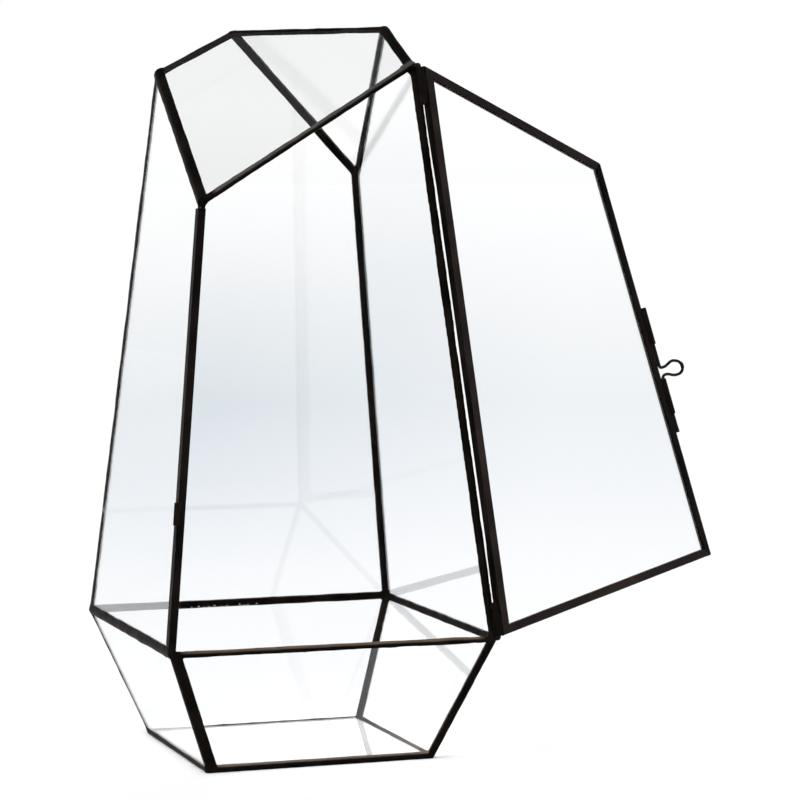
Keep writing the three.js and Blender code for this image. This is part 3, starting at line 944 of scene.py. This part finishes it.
def drawWire(name, points, radius, swells=None):
    data = bpy.data.curves.new(name, "CURVE")
    data.dimensions = "3D"
    data.bevel_depth = radius
    data.bevel_resolution = 4
    data.resolution_u = 12
    data.use_fill_caps = True
    spline = data.splines.new("BEZIER")
    spline.bezier_points.add(len(points) - 1)
    for index, (knot, point) in enumerate(zip(spline.bezier_points, points)):
        knot.co = point
        knot.handle_left_type = "AUTO"
        knot.handle_right_type = "AUTO"
        if swells:
            knot.radius = swells.get(index, 1.0)
    curve = bpy.data.objects.new(name + "_line", data)
    bpy.context.scene.collection.objects.link(curve)
    bpy.context.view_layer.update()
    shown = curve.evaluated_get(bpy.context.evaluated_depsgraph_get())
    mesh = bpy.data.meshes.new_from_object(shown)
    bm = bmesh.new()
    bm.from_mesh(mesh)
    bmesh.ops.remove_doubles(bm, verts=bm.verts[:], dist=0.001)
    bmesh.ops.recalc_face_normals(bm, faces=bm.faces[:])
    bpy.data.objects.remove(curve)
    bpy.data.meshes.remove(mesh)
    return bm


# each pin runs out of the corner's solder, bends at its knee and stands in its knuckle
pinShape = {"sunk": 0.8, "bend": ((1.1, 0), (0.4, 0.12)), "turn": 0.9}
kneeGap = hinge["gap"] + hinge["pin"]
topKnee = doorRing[1].z + kneeGap
bottomKnee = doorRing[0].z - kneeGap
pins = {
    "top": (topKnee, topKnee - kneeGap - hinge["reach"], "topFrontRight"),
    "bottom": (bottomKnee, bottomKnee + kneeGap + hinge["reach"], "waistFrontRight"),
}


def outFromAxis(cornerName):
    post = toDoorway @ corners[cornerName]
    post.z = 0
    return post


def makePin(name, kneeHeight, tipHeight, cornerName):
    post = outFromAxis(cornerName)
    outwards = post.normalized()
    knee = Vector((0, 0, kneeHeight))
    rise = 1 if tipHeight > kneeHeight else -1
    points = [outwards * (post.length - pinShape["sunk"]) + knee]
    points += [outwards * out + knee + Vector((0, 0, up * rise)) for out, up in pinShape["bend"]]
    points += [
        knee + Vector((0, 0, pinShape["turn"] * rise)),
        Vector((0, 0, (kneeHeight + tipHeight) / 2)),
        Vector((0, 0, tipHeight)),
    ]
    bm = drawWire("pin_" + name, points, hinge["pin"])
    addPiece("pin_" + name, bm, wireMaterial, "root", ("hinge_pin_" + name,), doorwayPlace)


for name, settings in pins.items():
    makePin(name, *settings)

# the latch's frame: x away from the stile, y as in the doorway's frame, z up it from the outer top corner
latch = {
    "aside": 1.67,
    "inside": 0.95,
    "wire": 0.65,
    "tube": 1.3,
    "bore": 0.85,
    "upperGuide": (65.6, 81.9),
    "lowerGuide": (97.7, 113.6),
    "keeper": (118.7, 127.7),
    "bolt": (74.8, 122.0),
    "bend": (91.4, 98.0),
}
# from the loop's upper leg round to its lower one: out from the bolt's line, and down the stile
loopPoints = (
    (0.5, 92.6), (2.1, 93.0), (3.9, 93.05), (6.0, 92.6), (8.4, 92.2), (11.0, 92.8), (13.3, 94.1),
    (14.5, 96.0), (13.9, 97.8), (12.2, 98.7), (9.4, 98.7), (6.8, 98.0), (4.4, 96.9), (2.2, 96.45),
    (0.6, 96.85),
)
stileUp = towards(doorRing[3], doorRing[2])
stileOut = doorAcross.cross(stileUp)
latchOrigin = doorRing[2] + stileOut * latch["aside"]
latchOrigin.y = -latch["inside"]
latchFrame = frameAt(latchOrigin, stileOut, doorAcross)
latchPlace = doorPlace @ latchFrame
keeperPlace = doorwayPlace @ latchFrame

for name in ("upper", "lower"):
    top, bottom = latch[name + "Guide"]
    bm = drawTube(latch["tube"], latch["bore"], -bottom, -top)
    addPiece("guide_" + name, bm, channelMaterial, "door", ("bolt_guide_" + name,), latchPlace)

# the bolt's end is hammered a little wider, and the loop's outer end is painted bright where its faces
# point outwards: a painted highlight
boltShape = {"straight": 1.2, "end": 1.3, "loop": 1.3, "highlightFrom": 13.6, "highlightFacing": 0.25}


def makeBolt():
    top, bottom = latch["bolt"]
    above, below = latch["bend"]
    line = [(0, top), (0, top + 8), (0, above - 1.5), (0, above), *loopPoints]
    line += [(0, below), (0, below + 1.5), (0, bottom - 15), (0, bottom - 4), (0, bottom)]
    points = [Vector((out, 0, -down)) for out, down in line]
    swells = {index: boltShape["straight"] for index, (out, down) in enumerate(line) if out == 0}
    swells[len(line) - 1] = boltShape["end"]
    swells[max(range(len(line)), key=lambda index: line[index][0])] = boltShape["loop"]
    bm = drawWire("bolt_wire", points, latch["wire"], swells)
    bm.normal_update()
    # the faces that get the painted highlight
    highlit = []
    for index, face in enumerate(bm.faces):
        if face.calc_center_median().x > boltShape["highlightFrom"] and face.normal.x > boltShape["highlightFacing"]:
            highlit.append(index)
    piece = addPiece("bolt_wire", bm, wireMaterial, "bolt", ("latch_bolt",), latchPlace)
    paintFaces(piece, glintMaterial, highlit)


makeBolt()

# the keeper's solder foot on the upright's side, which leaves the bolt's bore clear
keeperFoot = {
    "proud": 0.5,
    "sunk": 0.25,
    "tip": 0.15,
    "end": 138.0,
    "clear": 124.0,
    "behind": 1.05,
    "wave": (0.12, 4.0),
    "cuts": 6,
    "grain": 0.25,
}


def makeKeeper():
    top, bottom = latch["keeper"]
    bm = drawTube(latch["tube"], latch["bore"], -bottom, -top)
    addPiece("keeper_tube", bm, channelMaterial, "root", ("latch_keeper",), keeperPlace)
    toLatch = keeperPlace.inverted()
    foot, head = toLatch @ uprightFoot, toLatch @ uprightHead

    def onSide(down, proud):
        seam = head.lerp(foot, (head.z + down) / (head.z - foot.z))
        return seam + Vector((channel["thickness"] / 2 + proud, 0, 0))

    bm = bmesh.new()
    for reach, front in ((top, -keeperFoot["behind"]), (keeperFoot["clear"], 0)):
        outline = [
            onSide(reach, -keeperFoot["sunk"]),
            onSide(reach, keeperFoot["proud"]),
            onSide(bottom, keeperFoot["proud"]),
            onSide(keeperFoot["end"], keeperFoot["tip"]),
            onSide(keeperFoot["end"], -keeperFoot["sunk"]),
        ]
        back = outline[0].y - upright["back"] / 2
        part = bmesh.new()
        face = part.faces.new([part.verts.new((point.x, front, point.z)) for point in outline])
        extrudeBy(part, face, Vector((0, back - front, 0)))
        joinInto(bm, part)
    bmesh.ops.subdivide_edges(bm, edges=bm.edges[:], cuts=keeperFoot["cuts"], use_grid_fill=True)
    roughen(bm, *keeperFoot["wave"], 9)
    piece = addPiece("solder_keeper", bm, solderMaterial, "root", (), keeperPlace)
    melt(piece, keeperFoot["grain"])


makeKeeper()
print("hinge and latch made")


def addSolderPiece(name, blobs, bodyName, place, material=solderMaterial, grain=0.22):
    bm = bmesh.new()
    for seed, (centre, size) in enumerate(blobs):
        addBlob(bm, Vector(centre), size, seed + len(name))
    piece = addPiece(name, bm, material, bodyName, (), place)
    melt(piece, grain)


# each door corner: how far its solder sits inside the corner, and its size
doorCornerSolder = {
    "hinge_bottom": (1.35, (1.5, 1.62, 1.5)),
    "hinge_top": (1.35, (1.5, 1.62, 1.5)),
    "latch_top": (0.6, (1.0, 1.65, 1.0)),
    "latch_bottom": (1.25, (1.5, 1.62, 1.5)),
}
centre = sum(doorRing, Vector()) / 4
for (name, (inside, size)), corner in zip(doorCornerSolder.items(), doorRing):
    blobs = [(corner + towards(corner, centre) * inside, size)]
    addSolderPiece("solder_door_" + name, blobs, "door", doorPlace)

# solder wraps each knuckle on to the stile, runs on past its end, and thins out along the stile's edge
knuckleWrap = {"out": 1.05, "size": (1.45, 1.7, 5.2), "step": 1.5, "run": (0.15, 0.05), "long": 1.6}
knuckleRuns = {
    "top": {
        "span": topKnuckle,
        "from": topKnuckle[0] + 0.4,
        "sense": -1,
        "count": 4,
        "across": 1.75,
        "edgeRun": ((1.55, 0.75, topKnuckle[1] - 28), (0.8, 0.8, 25)),
    },
    "bottom": {
        "span": bottomKnuckle,
        "from": bottomKnuckle[1] - 0.2,
        "sense": 1,
        "count": 3,
        "across": 1.7,
        "edgeRun": ((1.15, 0.7, bottomKnuckle[0] + 20), (0.8, 0.8, 18)),
    },
}
for name, run in knuckleRuns.items():
    blobs = [((knuckleWrap["out"], 0, sum(run["span"]) / 2), knuckleWrap["size"])]
    for i in range(run["count"]):
        spot = (*knuckleWrap["run"], run["from"] + run["sense"] * knuckleWrap["step"] * i)
        blobs.append((spot, (run["across"] - 0.02 * i, run["across"] - 0.1, knuckleWrap["long"])))
    blobs.append(run["edgeRun"])
    addSolderPiece("solder_knuckle_" + name, blobs, "door", doorPlace)

pinSolder = {"inside": 0.9, "size": (1.15, 1.15, 0.8)}
for name, (kneeHeight, tipHeight, cornerName) in pins.items():
    post = outFromAxis(cornerName)
    spot = post.normalized() * (post.length - pinSolder["inside"]) + Vector((0, 0, kneeHeight))
    addSolderPiece("solder_pin_" + name, [(spot, pinSolder["size"])], "root", doorwayPlace)

# solder fills the crease between each guide and the stile: its place and size, in front and behind
guideSolder = {
    "front": (-1.36, -0.72, 0.6, 0.6),
    "back": (-1.15, 1.1, 0.6, 0.45),
    "shares": (-0.6, -0.2, 0.2, 0.6),
    "reach": (0.42, 0.9),
}
for name in ("upper", "lower"):
    top, bottom = latch[name + "Guide"]
    middle = -(top + bottom) / 2
    half = (bottom - top) / 2
    short, long = (half * share for share in guideSolder["reach"])
    x, y, wide, deep = guideSolder["front"]
    blobs = [((x, y, middle + half * share), (wide, deep, short)) for share in guideSolder["shares"]]
    x, y, wide, deep = guideSolder["back"]
    blobs.append(((x, y, middle), (wide, deep, long)))
    addSolderPiece("solder_guide_" + name, blobs, "door", latchPlace)

# painted glints: bright flecks along the lower edge of the seam at the back of the waist, and how far along
# it each sits
fleck = {"depth": -2.05, "drop": -0.7, "stagger": -0.25, "size": (0.5, 0.4, 0.28), "grain": 0.12}
fleckPlaces = (0.455, 0.485, 0.498, 0.512, 0.555, 0.573, 0.597, 0.617, 0.634, 0.65, 0.675)
start, end = (corners[name] for name in seams["seam_waist_back"][:2])
blobs = []
for index, share in enumerate(fleckPlaces):
    offset = Vector((0, fleck["depth"], fleck["drop"] + fleck["stagger"] * (index % 3)))
    blobs.append((start.lerp(end, share) + offset, fleck["size"]))
addSolderPiece("solder_flecks", blobs, "root", Matrix(), glintMaterial, fleck["grain"])

# a bare blob on the squared top of the upright
topBlob = {"down": 2.2, "offset": (-0.1, -0.4, 0), "size": (1.25, 0.95, 0.85)}
spot = uprightHead + towards(uprightHead, uprightFoot) * topBlob["down"] + Vector(topBlob["offset"])
addSolderPiece("solder_upright_top", [(spot, topBlob["size"])], "root", Matrix(), bareMaterial)
print("door solder made")

# seen through glass, the backdrop is painted a pale grey blue that is deepest well behind the object:
# painted shade standing in for the darker room that the glass reflects
studio = {
    "floorLevel": -0.36,
    "floorReach": 60.0,
    "floorColour": (0.93, 0.93, 0.935),
    "fibreShade": 0.985,
    "sky": ((0.25, 1.0), (0.68, 0.62), (0.82, 0.16)),
    "key": 2.45,
    "keyAngle": 40,
    "keyTurn": (38, 0, -42),
    "fadeReach": 1.6,
    "sideways": (0.944, -0.322, 0.0),
    "sideReach": 1.4,
    "sideSpan": (-0.045, 0.062),
    "sideStrength": (1.0, 0.5),
    "skyThroughGlass": 0.06,
    "skyRise": 0.02,
    "bounces": 24,
}
backdropTones = (
    (0.10, (1.0, 1.0, 1.0)),
    (0.27, (0.915, 0.93, 0.95)),
    (0.42, (0.76, 0.80, 0.84)),
    (0.55, (0.67, 0.725, 0.765)),
    (0.70, (0.78, 0.81, 0.83)),
    (0.87, (0.93, 0.935, 0.935)),
    (1.0, (1.0, 1.0, 1.0)),
)


def backdropTone(nodes, links):
    place = nodes.new("ShaderNodeTexCoord")
    measure = nodes.new("ShaderNodeVectorMath")
    measure.operation = "LENGTH"
    links.new(place.outputs["Object"], measure.inputs[0])
    away = measure.outputs["Value"]
    further = calculate(nodes, links, "ADD", away, studio["fadeReach"])
    tone = colourRamp(nodes, links, calculate(nodes, links, "DIVIDE", away, further), backdropTones)
    sideways = nodes.new("ShaderNodeVectorMath")
    sideways.operation = "DOT_PRODUCT"
    sideways.inputs[1].default_value = studio["sideways"]
    links.new(place.outputs["Object"], sideways.inputs[0])
    reach = calculate(nodes, links, "ADD", away, studio["sideReach"])
    aside = calculate(nodes, links, "DIVIDE", sideways.outputs["Value"], reach)
    strength = valueRange(nodes, links, aside, *studio["sideStrength"], *studio["sideSpan"])
    return mixColours(nodes, links, strength, (1.0, 1.0, 1.0), tone)


def makeFloor():
    bm = bmesh.new()
    bmesh.ops.create_circle(bm, cap_ends=True, segments=96, radius=studio["floorReach"])
    bmesh.ops.translate(bm, vec=(0, 0, studio["floorLevel"] * millimetre), verts=bm.verts[:])
    mesh = bpy.data.meshes.new("floor")
    bm.to_mesh(mesh)
    bm.free()
    material, nodes, links, shader = newMaterial("palePaper")
    fibres = noiseTexture(nodes, links, 900, 3.0, 0.6)
    shade = tuple(value * studio["fibreShade"] for value in studio["floorColour"])
    paper = colourRamp(nodes, links, fibres, ((0.3, shade), (0.7, studio["floorColour"])))
    path = nodes.new("ShaderNodeLightPath")
    throughGlass = path.outputs["Is Transmission Ray"]
    # painted shade: the floor darkens and turns blue only for rays that come through glass
    toned = mixColours(nodes, links, throughGlass, paper, backdropTone(nodes, links), "MULTIPLY")
    links.new(toned, shader.inputs["Base Color"])
    shader.inputs["Roughness"].default_value = 0.9
    shader.inputs["Specular IOR Level"].default_value = 0.1
    mesh.materials.append(material)
    floor = bpy.data.objects.new("floor", mesh)
    bpy.context.scene.collection.objects.link(floor)


def makeLight():
    data = bpy.data.lights.new("key", "SUN")
    data.energy = studio["key"]
    data.angle = math.radians(studio["keyAngle"])
    key = bpy.data.objects.new("key", data)
    key.rotation_euler = [math.radians(value) for value in studio["keyTurn"]]
    bpy.context.scene.collection.objects.link(key)


def makeWorld():
    world = bpy.data.worlds.new("studio")
    bpy.context.scene.world = world
    world.use_nodes = True
    nodes = world.node_tree.nodes
    links = world.node_tree.links
    place = nodes.new("ShaderNodeTexCoord")
    height = splitAxes(nodes, links, place.outputs["Generated"])["Z"]
    rise = colourRamp(nodes, links, height, [(stop, (grey,) * 3) for stop, grey in studio["sky"]])
    back = nodes["Background"]
    links.new(rise, back.inputs["Color"])
    path = nodes.new("ShaderNodeLightPath")
    throughGlass = path.outputs["Is Transmission Ray"]
    lift = valueRange(nodes, links, height, 0, studio["skyThroughGlass"], 0, studio["skyRise"])
    lifted = calculate(nodes, links, "MULTIPLY", lift, throughGlass)
    links.new(calculate(nodes, links, "ADD", lifted, 1), back.inputs["Strength"])


makeFloor()
makeLight()
makeWorld()
scene = bpy.context.scene
scene.view_settings.view_transform = "Standard"
scene.cycles.max_bounces = studio["bounces"]
scene.cycles.transmission_bounces = studio["bounces"]
scene.cycles.transparent_max_bounces = studio["bounces"]
scene.cycles.use_denoising = True
print("studio made")
